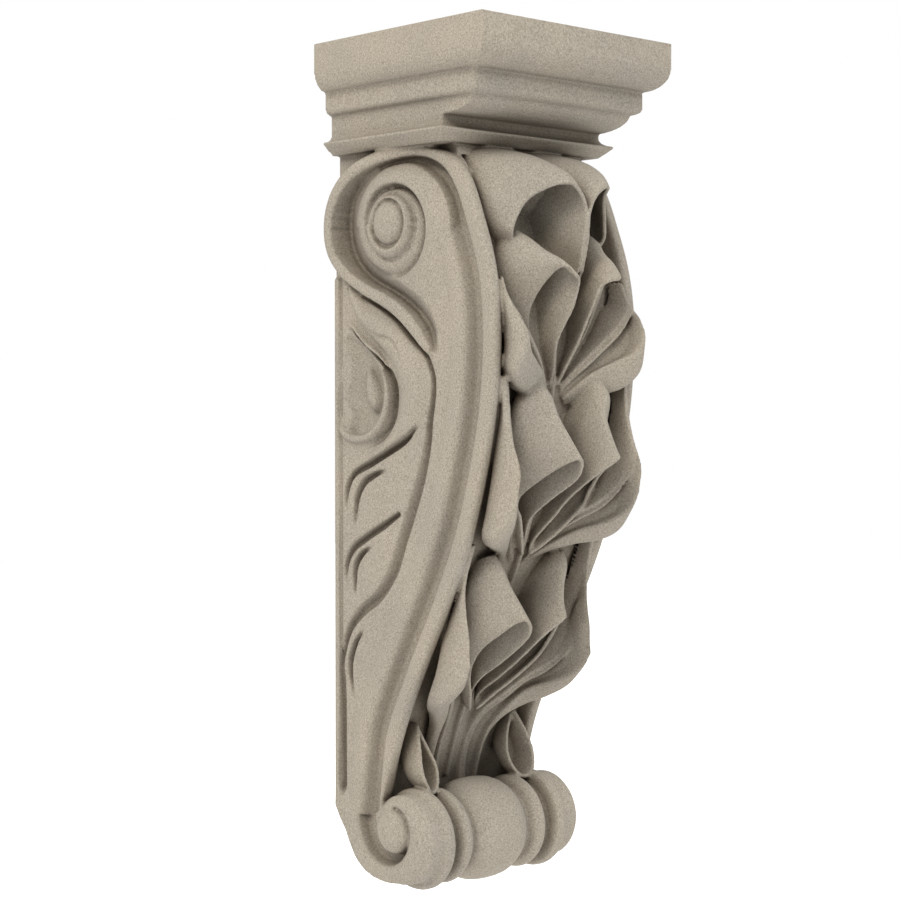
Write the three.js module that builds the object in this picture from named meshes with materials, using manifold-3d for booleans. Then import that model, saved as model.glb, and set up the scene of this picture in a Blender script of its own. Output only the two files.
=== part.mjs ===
// A carved sandstone corbel: a moulded cap over an S-shaped scroll bracket, with a volute and
// leaf relief on each side, three tiers of acanthus down the front and a turned roll at its foot.
// It is one stone. +Z is up, the wall face lies in the plane Y = 0 and the front looks along -Y.
import * as THREE from "three";
import { mergeVertices } from "three/addons/utils/BufferGeometryUtils.js";
import Module from "manifold-3d";

const wasm = await Module();
wasm.setup();

// Driving sizes in millimetres.
const corbelHeight = 601.7;
const capHalfWidth = 93.5;
const capDepth = 174;
const capHeight = 78.3;
const neckHalfWidth = 70;
const sideHalfWidth = 73;
const frameHalfWidth = 71;
const frameFaceWidth = 9;
const frameBandWidth = 12.5;
const grooveWidth = 11;
const grooveDepth = 5;
const broadBandWidth = 22;
const panelRecess = 14;
const bracketDepth = 161.5;
const sheetThickness = 3;
const rollRadius = 35.8;
const rollSwell = 1.2;
const bossRadius = 16.5;
const voluteBossProjection = 12;
const rollBossProjection = 8.5;
const borderGrooveDepth = 2;
const arris = 2.5;

// How finely the round and swept forms are faceted.
const frameSteps = 18;
const rollFacets = 16;
const voluteFacets = 14;
const bossFacets = 10;
const lobeFacets = 9;
const dropFacets = 8;

// The carving was set out on a full-size drawing. Its points are (across, depth, drop): across
// from the middle plane, depth out from the wall and drop below the top of the cap.
const drawing = {
  halfWidth: 73, depth: 161.5, wallFaceDrop: 548,
  capHalfWidth: 93.5, capDepth: 174, capHeight: 78.3,
  rollDepth: 69, rollDrop: 564.7, voluteDepth: 67, voluteDrop: 131,
};
const acrossScale = sideHalfWidth / drawing.halfWidth;
const depthScale = bracketDepth / drawing.depth;
const dropScale = (corbelHeight - capHeight - rollRadius - rollSwell)
  / (drawing.rollDrop - drawing.capHeight);

function modelDrop(drop) {
  if (drop < drawing.capHeight) return drop * capHeight / drawing.capHeight;
  return capHeight + (drop - drawing.capHeight) * dropScale;
}

// The mount is the middle of the flat face that lies against the wall.
const wallFaceHeight = modelDrop(drawing.wallFaceDrop);
const topOfCap = wallFaceHeight / 2;

function place(across, depth, drop) {
  return new THREE.Vector3(across * acrossScale, -depth * depthScale, topOfCap - modelDrop(drop));
}

// Solids are made from closed meshes, turned so that their faces point out.
function solidFrom(geometry) {
  const bare = geometry.index ? geometry.toNonIndexed() : geometry.clone();
  bare.deleteAttribute("normal");
  bare.deleteAttribute("uv");
  const merged = mergeVertices(bare, 1e-4);
  const positions = merged.attributes.position.array;
  const triangles = Array.from(merged.index.array);
  const a = new THREE.Vector3();
  const b = new THREE.Vector3();
  const c = new THREE.Vector3();
  let volume = 0;
  for (let i = 0; i < triangles.length; i += 3) {
    a.fromArray(positions, 3 * triangles[i]);
    b.fromArray(positions, 3 * triangles[i + 1]);
    c.fromArray(positions, 3 * triangles[i + 2]);
    volume += a.dot(b.cross(c));
  }
  if (volume < 0) triangles.reverse();
  const triVerts = new Uint32Array(triangles);
  const vertProperties = new Float32Array(positions);
  return new wasm.Manifold(new wasm.Mesh({ numProp: 3, vertProperties, triVerts }));
}

function middleOf(ring) {
  return ring.reduce((sum, p) => sum.add(p), new THREE.Vector3()).divideScalar(ring.length);
}

// A loft joins rings of equal count, and closes each end with a fan round the ring's middle.
function loft(rings) {
  const count = rings[0].length;
  const vertices = [];
  for (let r = 0; r + 1 < rings.length; r += 1) {
    for (let i = 0; i < count; i += 1) {
      const j = (i + 1) % count;
      vertices.push(rings[r][i], rings[r][j], rings[r + 1][i]);
      vertices.push(rings[r][j], rings[r + 1][j], rings[r + 1][i]);
    }
  }
  const first = rings[0];
  const last = rings[rings.length - 1];
  const firstMiddle = middleOf(first);
  const lastMiddle = middleOf(last);
  for (let i = 0; i < count; i += 1) {
    const j = (i + 1) % count;
    vertices.push(first[j], first[i], firstMiddle);
    vertices.push(last[i], last[j], lastMiddle);
  }
  return solidFrom(new THREE.BufferGeometry().setFromPoints(vertices));
}

function mirrorRings(rings) {
  return rings.map((ring) => ring.map((p) => new THREE.Vector3(-p.x, p.y, p.z)));
}

function bothSides(rings) {
  return loft(rings).add(loft(mirrorRings(rings)));
}

function smoothPath(points, samples) {
  const curve = new THREE.CatmullRomCurve3(points, false, "centripetal");
  return curve.getSpacedPoints(samples);
}

// A strand is a tapering rib of oval section along a path. Each point of the path is
// [across, depth, drop, half width, half height], and its height stands along the outward way.
function strandRings(points, outward, samples, sides) {
  const centres = smoothPath(points.map((p) => place(p[0], p[1], p[2])), samples);
  const sizes = smoothPath(points.map((p, i) => new THREE.Vector3(p[3], p[4], i * 0.01)), samples);
  return centres.map((centre, i) => {
    const before = centres[Math.max(0, i - 1)];
    const after = centres[Math.min(samples, i + 1)];
    const along = after.clone().sub(before).normalize();
    const wide = new THREE.Vector3().crossVectors(along, outward).normalize();
    const tall = new THREE.Vector3().crossVectors(wide, along).normalize();
    const ring = [];
    for (let k = 0; k < sides; k += 1) {
      const turn = 2 * Math.PI * k / sides;
      ring.push(centre.clone()
        .addScaledVector(wide, sizes[i].x * Math.cos(turn))
        .addScaledVector(tall, sizes[i].y * Math.sin(turn)));
    }
    return ring;
  });
}

// The cap: square courses whose rounds run from upright to level.
function capCourses() {
  const rows = [];
  const flat = (drop, halfWidth, depth) => rows.push([drop, halfWidth, depth]);
  const round = (drop, halfWidth, depth, steps) => {
    const [startDrop, startHalf, startDepth] = rows[rows.length - 1];
    for (let i = 1; i <= steps; i += 1) {
      const turn = Math.PI / 2 * i / steps;
      const inward = 1 - Math.cos(turn);
      rows.push([startDrop + (drop - startDrop) * Math.sin(turn),
        startHalf + (halfWidth - startHalf) * inward,
        startDepth + (depth - startDepth) * inward]);
    }
  };
  flat(0, drawing.capHalfWidth, drawing.capDepth);
  flat(18, drawing.capHalfWidth, drawing.capDepth);
  round(33.8, 82.8, 156.2, 5);
  flat(46, 82.8, 156.2);
  round(50.1, 77.5, 148.9, 3);
  round(60.5, 77.5, 118.5, 4);
  flat(64, 77.5, 118.5);
  round(69.5, 85.3, 125.9, 3);
  flat(71, 85.3, 125.9);
  flat(drawing.capHeight, 76.3, 119.2);
  return rows;
}

function capSolid() {
  const rings = capCourses().map(([drop, halfWidth, depth]) => {
    const x = halfWidth * capHalfWidth / drawing.capHalfWidth;
    const y = -depth * capDepth / drawing.capDepth;
    const z = topOfCap - drop * capHeight / drawing.capHeight;
    return [[-x, 0], [x, 0], [x, y], [-x, y]].map(([px, py]) => new THREE.Vector3(px, py, z));
  });
  return loft(rings);
}

// The front edge of the scroll frame, from over the volute down to the roll: [depth, drop].
const frameEdge = [
  [48, 80], [75, 78.5], [100, 80.5], [119, 88], [133, 103], [146, 132], [156, 161], [161, 190],
  [161.5, 226], [157, 267], [149.5, 300], [134.5, 348], [113.5, 394], [88.5, 440], [65, 488],
  [51, 530], [44, 556],
];

function frameStations(samples) {
  const corners = frameEdge.map(([depth, drop]) => place(0, depth, drop));
  const points = new THREE.CatmullRomCurve3(corners, false, "centripetal").getPoints(samples);
  return points.map((point, i) => {
    const before = points[Math.max(0, i - 1)];
    const after = points[Math.min(samples, i + 1)];
    const along = after.clone().sub(before).normalize();
    return { point, inward: new THREE.Vector3(0, -along.z, along.y) };
  });
}

// The frame's section: [inset from the front edge, across].
function frameSection() {
  const grooveFloor = frameHalfWidth - grooveDepth;
  const bandStart = frameBandWidth + grooveWidth;
  const faceInner = frameHalfWidth - frameFaceWidth;
  return [
    [panelRecess + arris, faceInner], [arris / 2, faceInner], [0, frameHalfWidth - arris],
    [arris, frameHalfWidth], [frameBandWidth, frameHalfWidth],
    [frameBandWidth + arris / 2, grooveFloor], [bandStart - arris, grooveFloor],
    [bandStart, frameHalfWidth - arris / 2],
    [bandStart + broadBandWidth / 3, sideHalfWidth + 0.5],
    [bandStart + broadBandWidth, sideHalfWidth + 0.4],
    [bandStart + broadBandWidth + 4, faceInner],
  ];
}

function frameRings() {
  const section = frameSection();
  return frameStations(frameSteps).map(({ point, inward }) => section.map(([inset, across]) => (
    new THREE.Vector3(across, point.y, point.z).addScaledVector(inward, inset))));
}

// A slab is a side outline, given as points in the side plane, taken straight through the stone.
function slab(corners, halfWidth) {
  const shape = new THREE.Shape(corners.map((p) => new THREE.Vector2(-p.y, p.z)));
  const geometry = new THREE.ExtrudeGeometry(shape, { depth: 2 * halfWidth, bevelEnabled: false });
  geometry.applyMatrix4(new THREE.Matrix4().makeBasis(
    new THREE.Vector3(0, -1, 0), new THREE.Vector3(0, 0, 1), new THREE.Vector3(-1, 0, 0)));
  geometry.translate(halfWidth, 0, 0);
  return solidFrom(geometry);
}

// The foot of the back, from the end of the wall face round under the lower volute.
const footEdge = [[5, 557], [18, 568], [22, 577], [30, 585], [40, 590.5], [55, 594]];

function bracketOutline(inset, topDrop) {
  const front = frameStations(frameSteps).map(({ point, inward }) => (
    point.clone().addScaledVector(inward, inset)));
  const foot = footEdge.map(([depth, drop]) => place(0, depth, drop)).reverse();
  const behindRoll = place(0, drawing.rollDepth, drawing.rollDrop + rollRadius / 3);
  const endOfWallFace = new THREE.Vector3(0, 0, topOfCap - wallFaceHeight);
  return [place(0, 0, topDrop), ...front, behindRoll, ...foot, endOfWallFace];
}

// The neck stands between the cap and the scroll, behind the volutes.
function neck() {
  const corners = [[0, 76], [112, 76], [118, 100], [100, 175], [0, 175]];
  return slab(corners.map(([depth, drop]) => place(0, depth, drop)), neckHalfWidth);
}

// Turned forms lie along the X axis. Their profile is [across, radius].
function turned(profile, depth, drop, segments) {
  const points = profile.map(([across, radius]) => new THREE.Vector2(radius, across));
  const geometry = new THREE.LatheGeometry(points, segments);
  geometry.rotateZ(-Math.PI / 2);
  const centre = place(0, depth, drop);
  geometry.translate(0, centre.y, centre.z);
  return solidFrom(geometry);
}

// The roll: a middle ball, then a slender ring, a broad flange and the volute ring on each side.
function roll() {
  const r = rollRadius;
  const half = [
    [0, r + rollSwell], [13, r - 0.2], [23, r - 4.5], [28, r - 9], [36, r - 1.5], [42, r - 4],
    [47, r - 9], [52, r - 2], [57, r], [62.5, r - 6], [69, r - 4.5], [74.5, r - 8],
    [77, r - 13], [75, r - 18],
  ];
  const wide = half.map(([across, radius]) => [across * acrossScale, radius]);
  const mirrored = wide.slice(1).map(([across, radius]) => [-across, radius]).reverse();
  const profile = [[-sideHalfWidth, 0], ...mirrored, ...wide, [sideHalfWidth, 0]];
  return turned(profile, drawing.rollDepth, drawing.rollDrop, rollFacets);
}

// A disc ring is a circle that faces out of the side.
function discRing(centre, radius, facets) {
  return Array.from({ length: facets }, (_, k) => {
    const turn = 2 * Math.PI * k / facets;
    const reach = new THREE.Vector3(0, Math.cos(turn), Math.sin(turn));
    return centre.clone().addScaledVector(reach, radius);
  });
}

// A boss is a low dome that stands out from the side.
function boss(baseAcross, depth, drop, projection) {
  const rings = [0, 0.33, 0.67, 0.9].map((share) => {
    const lift = Math.PI / 2 * share;
    const centre = place(baseAcross, depth, drop);
    centre.x += projection * Math.sin(lift);
    return discRing(centre, bossRadius * Math.cos(lift), bossFacets);
  });
  return bothSides(rings);
}

// The eye of the upper volute: two stepped rings round a dome, rising outwards like a snail.
function volute() {
  const steps = [[60, 42], [74, 42], [76.5, 35], [74, 33], [79.5, 28], [77.5, 24],
    [82.5, 20], [80.5, bossRadius]];
  const rings = steps.map(([across, radius]) => (
    discRing(place(across, drawing.voluteDepth, drawing.voluteDrop), radius, voluteFacets)));
  const dome = boss(76, drawing.voluteDepth, drawing.voluteDrop - 3, voluteBossProjection);
  return bothSides(rings).add(dome);
}

const towardSide = new THREE.Vector3(1, 0, 0);
const towardFront = new THREE.Vector3(0, -1, 0);

function sideStrand(points, samples, sides = 8) {
  return bothSides(strandRings(points, towardSide, samples, sides));
}

function frontStrand(points, samples, sides = 8) {
  return bothSides(strandRings(points, towardFront, samples, sides));
}

// The rim of the volute sweeps round behind the eye and on down the side as a leaf.
const rimPath = [
  [68, 74, 83, 4, 6], [72, 45, 85, 5, 8], [75, 24, 94, 6, 9], [77, 12, 109, 6, 9],
  [78, 6, 130, 6, 9], [77, 9, 149, 6, 9], [74, 19, 165, 5.5, 8], [71, 35, 176, 5.5, 8],
  [70, 54, 184, 5.5, 8], [70, 72, 193, 5.5, 8], [70, 88, 206, 5, 7.5], [70, 100, 221, 3, 6],
];

// The side leaf: a stem with a teardrop curl, then tendrils that branch towards the wall.
const leafBody = [
  [70, 12, 172, 4, 5], [70, 30, 200, 6, 6], [70, 55, 213, 9, 7], [70, 78, 230, 13, 7.5],
  [70, 86, 252, 14, 7.5], [70, 80, 272, 9, 7], [70, 58, 290, 6, 6], [70, 34, 300, 5, 5],
  [70, 18, 310, 3.5, 4.5], [70, 11, 326, 1.5, 3],
];
const curlRim = [
  [71, 22, 205, 2.5, 4], [72, 38, 217, 3, 5.5], [72, 54, 230, 3.5, 6], [72, 61, 247, 3.5, 6],
  [72, 57, 265, 3.5, 6], [72, 44, 277, 3.5, 6], [72, 26, 281, 3, 5.5], [72, 10, 276, 3, 5],
  [72, 2.5, 262, 2.5, 5], [71, 2.5, 244, 2, 4],
];
const stemGroove = [
  [73, 102, 228, 2, 4], [73, 103, 262, 3, 4.5], [73, 94, 300, 4.5, 5], [73, 80, 334, 5.5, 5],
  [73, 63, 372, 5.5, 5], [73, 44, 394, 4.5, 5], [73, 20, 411, 3.5, 4.5], [73, 8, 434, 2.5, 4],
  [73, 5, 460, 1.5, 2.5],
];
const tendrilGrooves = [
  [[73, 90, 272, 2, 3.5], [73, 70, 287, 3, 4], [73, 42, 299, 3, 4], [73, 20, 309, 3, 4],
    [73, 13, 322, 2.5, 3.5], [73, 12, 332, 1, 2]],
  [[73, 54, 304, 1, 2], [73, 38, 309, 2.5, 3.5], [73, 24, 319, 3, 4], [73, 19, 338, 1.5, 3]],
  [[73, 66, 334, 2, 3], [73, 46, 345, 3, 4], [73, 24, 357, 3, 4], [73, 12, 371, 2, 3.5],
    [73, 10, 381, 1, 2]],
  [[73, 39, 358, 1, 2], [73, 26, 365, 2.5, 3.5], [73, 20, 378, 2.5, 3.5], [73, 21, 390, 1, 2]],
  [[73, 30, 419, 1, 2], [73, 20, 430, 2.5, 3.5], [73, 15, 446, 2.5, 3.5], [73, 19, 466, 1, 2]],
];

function sideRaised() {
  return sideStrand(rimPath, 14, 5).add(sideStrand(leafBody, 10, 4)).add(sideStrand(curlRim, 10, 4));
}

function sideCuts() {
  const borderGroove = [[73.5, 5, 170, 1.5, borderGrooveDepth],
    [73.5, 5, 330, 1.5, borderGrooveDepth], [73.5, 7, 455, 3, 1.5 * borderGrooveDepth],
    [73.5, 7, 534, 3, 1.5 * borderGrooveDepth]];
  const channel = [[79, 72, 92, 3, 8], [79, 44, 95, 4, 9], [80, 22, 107, 5, 10],
    [80, 14, 130, 5, 10], [80, 20, 152, 6, 10], [79, 42, 168, 6, 10], [78, 66, 178, 6, 9],
    [77, 88, 190, 6, 8], [76, 103, 207, 5, 7], [76, 107, 218, 2, 4]];
  const bowl = [[76, 18, 226, 6, 6], [76, 24, 240, 13, 8], [76, 26, 256, 17, 8],
    [76, 27, 270, 9, 7]];
  const curlUnder = [[73, 36, 560, 6, 5], [73, 42, 573, 6, 5], [73, 54, 581, 6, 5],
    [73, 70, 583, 5, 5], [73, 80, 577, 2, 4]];
  let cuts = sideStrand(channel, 11, 5).add(sideStrand(bowl, 4, 6)).add(sideStrand(curlUnder, 5, 4))
    .add(sideStrand(borderGroove, 3, 4)).add(sideStrand(stemGroove, 7, 4));
  for (const points of tendrilGrooves) {
    cuts = cuts.add(sideStrand(points, 4, 3));
  }
  return cuts;
}

// A cowl is a lobe of leaf shaped like a hood: a closed root that widens down to an open mouth.
// It is given by four tracks, for the front, outer, back and inner side of each level.
function cowlRings(levels, count) {
  const rings = levels.map((level) => {
    const corners = level.map((p) => place(p[0], p[1], p[2]));
    const loop = new THREE.CatmullRomCurve3(corners, true, "centripetal");
    return Array.from({ length: count }, (_, k) => loop.getPoint(k / count));
  });
  const mouth = rings[rings.length - 1];
  const before = rings[rings.length - 2];
  const middle = middleOf(mouth);
  const innerMiddle = middleOf(before);
  const lip = mouth.map((p) => p.clone().add(middle.clone().sub(p).setLength(sheetThickness)));
  const inward = innerMiddle.clone().sub(middle).multiplyScalar(0.6);
  const throat = before.map((p) => p.clone().lerp(innerMiddle, 0.35).add(inward));
  return [...rings, lip, throat];
}

function frontLobe(levels) {
  return bothSides(cowlRings(levels, lobeFacets));
}

// The hood under the cap, then the lobe of each tier, from its root down to its mouth.
const hoodLevels = [
  [[32, 120, 79], [56, 105, 80], [32, 90, 82], [5, 118, 79]],
  [[28, 148, 87], [58, 122, 92], [30, 100, 105], [1, 145, 89]],
  [[22, 167, 96], [57, 136, 106], [28, 110, 125], [0, 162, 101]],
  [[18, 177, 103], [52, 146, 122], [25, 125, 145], [-1, 170, 114]],
  [[16.6, 182.6, 108], [46, 152, 134], [14, 150, 166], [-1, 173, 121]],
];
const tierLevels = [
  [
    [[37, 150, 136], [45, 140, 142], [37, 128, 146], [30, 140, 141]],
    [[32, 157, 146], [51, 146, 156], [33, 128, 162], [18, 150, 152]],
    [[27, 164, 159], [51, 149, 175], [30, 125, 185], [12, 158, 172]],
    [[23, 180, 165], [43, 151, 192], [22, 125, 205], [9, 168, 188]],
    [[21.6, 192, 170], [31, 151, 206], [16, 140, 222], [9, 172, 205]],
  ],
  [
    [[31, 165, 242], [41, 155, 248], [31, 140, 250], [22, 155, 247]],
    [[28, 173, 250], [46, 158, 262], [30, 135, 268], [12, 160, 260]],
    [[23, 175, 264], [46, 155, 285], [28, 130, 295], [9, 163, 282]],
    [[20.5, 184, 279], [43, 151, 305], [24, 125, 318], [7, 167, 300]],
    [[19.3, 194, 293.5], [33, 146, 324], [20, 122, 338], [7, 158, 322]],
  ],
  [
    [[34, 124, 361], [42, 112, 366], [34, 98, 368], [26, 112, 365]],
    [[31, 129, 370], [46, 113, 381], [32, 88, 386], [14, 116, 380]],
    [[26, 132, 384], [46, 108, 402], [30, 82, 412], [10, 116, 400]],
    [[21.5, 137, 397], [42, 101, 421], [25, 77, 436], [8, 117, 418]],
    [[19, 143.3, 407], [31, 93, 440], [20, 72, 455], [8, 106, 440]],
  ],
];

// How far out the frame edge stands at a given drop on the drawing, below the turn of its top.
function edgeDepth(drop) {
  const next = frameEdge.findIndex((point, i) => i > 2 && point[1] > drop);
  const [depth0, drop0] = frameEdge[next - 1];
  const [depth1, drop1] = frameEdge[next];
  return depth0 + (depth1 - depth0) * (drop - drop0) / (drop1 - drop0);
}

// The outer lobes hang beside the frame like drops. Each level is [share of the length, reach
// beyond the frame edge as a share, half size across], and the foot of the drop is rounded.
const dropProfile = [[0, 0, 2], [0.25, 0.17, 5], [0.5, 0.65, 8], [0.75, 1, 9], [0.93, 0.6, 7],
  [1, 0.1, 3]];

// Each tier: the top of its drops, their length, and their reach beyond the frame edge.
const tiers = [
  { top: 180, length: 62, reach: 15 },
  { top: 238, length: 108, reach: 27 },
  { top: 352, length: 98, reach: 32 },
];

function dropRings(tier, count) {
  return dropProfile.map(([share, reach, half]) => {
    const drop = tier.top + share * tier.length;
    const edge = edgeDepth(drop);
    const corners = [[66 - half, edge + reach * tier.reach], [66, edge - 3],
      [64 - half, edge - 22], [66 - 2 * half, edge - 6]];
    const loop = new THREE.CatmullRomCurve3(corners.map(([across, depth]) => (
      place(across, depth, drop))), true, "centripetal");
    return Array.from({ length: count }, (_, k) => loop.getPoint(k / count));
  });
}

// A ribbon sweeps from the stem out under the lobe and turns up into the drop's rim. Each point is
// [across, share of the drop's length, stand beyond the frame edge, half width].
const ribbonSweep = [[4, 1.18, -13, 3], [16, 1.1, -9, 3], [31, 1.01, 3, 3], [47, 0.95, 14, 3],
  [56, 0.82, 20, 3], [58, 0.6, 15, 2]];

function ribbonPoints(tier, lift) {
  return ribbonSweep.map(([across, share, stand, half]) => {
    const drop = tier.top + share * tier.length - lift;
    const depth = edgeDepth(drop) + stand * tier.reach / 24 - lift / 3;
    return [across - lift / 2, depth - 6, drop, half, 8];
  });
}

// The stem runs down the middle of the recessed panel.
function stem() {
  const drops = [165, 215, 265, 315, 365, 415, 465, 500, 522];
  const points = drops.map((drop) => [0, edgeDepth(drop) - panelRecess - 4, drop, 5, 7]);
  return loft(strandRings(points, towardFront, 7, 4));
}

function acanthus() {
  let leaves = frontLobe(hoodLevels).add(stem());
  tiers.forEach((tier, i) => {
    leaves = leaves.add(frontLobe(tierLevels[i])).add(bothSides(dropRings(tier, dropFacets)));
    for (const lift of [0, 11]) {
      leaves = leaves.add(frontStrand(ribbonPoints(tier, lift), 5, 4));
    }
  });
  return leaves;
}

// Two small curled leaves end the panel above the roll.
const curlLevels = [
  [[48, 66, 484], [53, 60, 486], [48, 52, 488], [44, 60, 486]],
  [[48, 72, 500], [56, 66, 504], [48, 50, 506], [41, 64, 502]],
  [[48, 80, 512], [57, 70, 518], [48, 50, 522], [40, 68, 514]],
  [[47, 84, 520], [56, 72, 530], [46, 56, 534], [38, 70, 524]],
];

// Overlapping forms can shut in a thin hollow. The stone is solid, so only its outer skin is kept.
function wholeBody(stone) {
  return stone.decompose().reduce((best, body) => (body.volume() > best.volume() ? body : best));
}

// The bracket's slabs run a little way up into the cap, so that the two are one stone.
const slabTop = drawing.capHeight - 0.3;
const limitTop = drawing.capHeight - 8.3;

function corbel() {
  const outerSlab = slab(bracketOutline(frameBandWidth + grooveWidth + 6, slabTop), sideHalfWidth);
  const panel = slab(bracketOutline(panelRecess, slabTop), frameHalfWidth - frameFaceWidth + 1);
  const sideLimit = slab(bracketOutline(-0.5, limitTop), capHalfWidth);
  const frames = bothSides(frameRings()).intersect(sideLimit);
  let stone = capSolid().add(neck()).add(outerSlab).add(panel).add(frames);
  stone = stone.add(roll()).add(volute());
  stone = stone.subtract(sideCuts()).add(sideRaised()).add(acanthus());
  stone = stone.add(frontLobe(curlLevels))
    .add(boss(drawing.halfWidth, drawing.rollDepth, drawing.rollDrop, rollBossProjection));
  const wall = new THREE.BoxGeometry(4 * capHalfWidth, 100, 4 * wallFaceHeight);
  return wholeBody(stone.subtract(solidFrom(wall.translate(0, 50, 0))));
}

function meshFrom(name, solid, material) {
  const { vertProperties, triVerts } = solid.getMesh();
  const geometry = new THREE.BufferGeometry();
  geometry.setAttribute("position", new THREE.BufferAttribute(new Float32Array(vertProperties), 3));
  geometry.setIndex(new THREE.BufferAttribute(new Uint32Array(triVerts), 1));
  geometry.computeVertexNormals();
  const mesh = new THREE.Mesh(geometry, material);
  mesh.name = name;
  return mesh;
}

const sandstone = new THREE.MeshStandardMaterial({ color: 0xb8ad96, roughness: 0.95, metalness: 0 });
const model = new THREE.Group();
model.add(meshFrom("corbel", corbel(), sandstone));

export default model;
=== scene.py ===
import math

import bpy
import numpy as np
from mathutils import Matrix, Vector


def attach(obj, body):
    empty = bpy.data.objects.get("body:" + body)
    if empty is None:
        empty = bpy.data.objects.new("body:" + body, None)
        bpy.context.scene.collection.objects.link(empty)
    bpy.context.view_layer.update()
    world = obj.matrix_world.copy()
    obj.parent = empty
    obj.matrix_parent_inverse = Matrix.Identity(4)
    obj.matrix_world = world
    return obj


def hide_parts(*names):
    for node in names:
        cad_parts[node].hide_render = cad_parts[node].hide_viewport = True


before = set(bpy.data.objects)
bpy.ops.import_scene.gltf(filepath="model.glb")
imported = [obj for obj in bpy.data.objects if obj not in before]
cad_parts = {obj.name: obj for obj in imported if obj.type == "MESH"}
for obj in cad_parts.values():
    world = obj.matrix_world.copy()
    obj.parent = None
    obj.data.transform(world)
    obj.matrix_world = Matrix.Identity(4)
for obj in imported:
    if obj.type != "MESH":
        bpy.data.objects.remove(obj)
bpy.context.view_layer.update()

# The camera looks at the corbel from the left of its front, a little above its middle.
# It stands level with the acanthus, so the underside of the cap and the top of the roll show.
camera_azimuth = math.radians(-42.70)
camera_elevation = math.radians(1.51)
camera_back = Vector((
    math.sin(camera_azimuth) * math.cos(camera_elevation),
    -math.cos(camera_azimuth) * math.cos(camera_elevation),
    math.sin(camera_elevation),
))
camera_place = (-0.98246, -1.10686, 0.02146)
bpy.ops.object.camera_add(location=camera_place)
camera = bpy.context.object
camera.rotation_euler = (-camera_back).to_track_quat("-Z", "Y").to_euler()
camera.data.sensor_width = 36
camera.data.lens = 78.98
camera.data.dof.use_dof = False
bpy.context.scene.camera = camera


# The cap is the square head of the stone, worked as courses: a deep fascia with its lower arris
# rounded off, a fillet, a quarter round under it, and a splayed listel over the scroll.
# Every size of the carving is in millimetres from the middle plane, the wall and the cap's top.
cap_top = 274.0


def place(points):
    """Turns (across, depth, drop) in millimetres into a place in metres."""
    across, depth, drop = np.moveaxis(np.asarray(points, dtype=float), -1, 0)
    return np.stack([across, -depth, cap_top - drop], axis=-1) / 1000


def select_only(piece):
    bpy.ops.object.select_all(action="DESELECT")
    piece.select_set(True)
    bpy.context.view_layer.objects.active = piece


def finish_modifier(piece, kind, **settings):
    select_only(piece)
    modifier = piece.modifiers.new(kind.lower(), kind)
    for name, value in settings.items():
        setattr(modifier, name, value)
    bpy.ops.object.modifier_apply(modifier=modifier.name)


cap_half_width = 93.5
cap_depth = 174.0
cap_courses = [(18.0, 93.5, 174.0, 1), (33.8, 82.8, 156.2, 8), (46.0, 82.8, 156.2, 1),
               (50.1, 77.5, 148.9, 4), (60.5, 77.5, 118.5, 8), (64.0, 77.5, 118.5, 1),
               (69.5, 85.3, 125.9, 5), (71.0, 85.3, 125.9, 1), (78.3, 76.3, 119.2, 2)]


def cap_rows():
    """The cap's profile as (drop, half width, depth); a course of many steps is a quarter round."""
    drop, half, depth = 0.0, cap_half_width, cap_depth
    for next_drop, next_half, next_depth, steps in cap_courses:
        for step in range(1, steps + 1):
            turn = math.pi / 2 * step / steps
            rounded = steps > 2
            down = math.sin(turn) if rounded else step / steps
            inward = 1 - math.cos(turn) if rounded else step / steps
            yield (drop + (next_drop - drop) * down, half + (next_half - half) * inward,
                   depth + (next_depth - depth) * inward)
        drop, half, depth = next_drop, next_half, next_depth


bpy.ops.object.select_all(action="DESELECT")
bpy.ops.mesh.primitive_plane_add(size=1, location=(0, 0, 0))
cap = bpy.context.object
for corner in cap.data.vertices:
    corner.co = place([math.copysign(cap_half_width, corner.co.x),
                       cap_depth if corner.co.y < 0 else 0, 0])
bpy.ops.object.mode_set(mode="EDIT")
bpy.ops.mesh.select_all(action="SELECT")
last_drop, last_half, last_depth = 0.0, cap_half_width, cap_depth
for drop, half, depth in cap_rows():
    bpy.ops.mesh.extrude_region_move(
        TRANSFORM_OT_translate={"value": (0, 0, (last_drop - drop) / 1000),
                                "orient_type": "GLOBAL"})
    bpy.ops.transform.resize(value=(half / last_half, depth / last_depth, 1),
                             center_override=(0, 0, 0))
    last_drop, last_half, last_depth = drop, half, depth
bpy.ops.mesh.select_all(action="SELECT")
bpy.ops.mesh.normals_make_consistent(inside=False)
bpy.ops.object.mode_set(mode="OBJECT")
stone_parts = [cap]


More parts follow.
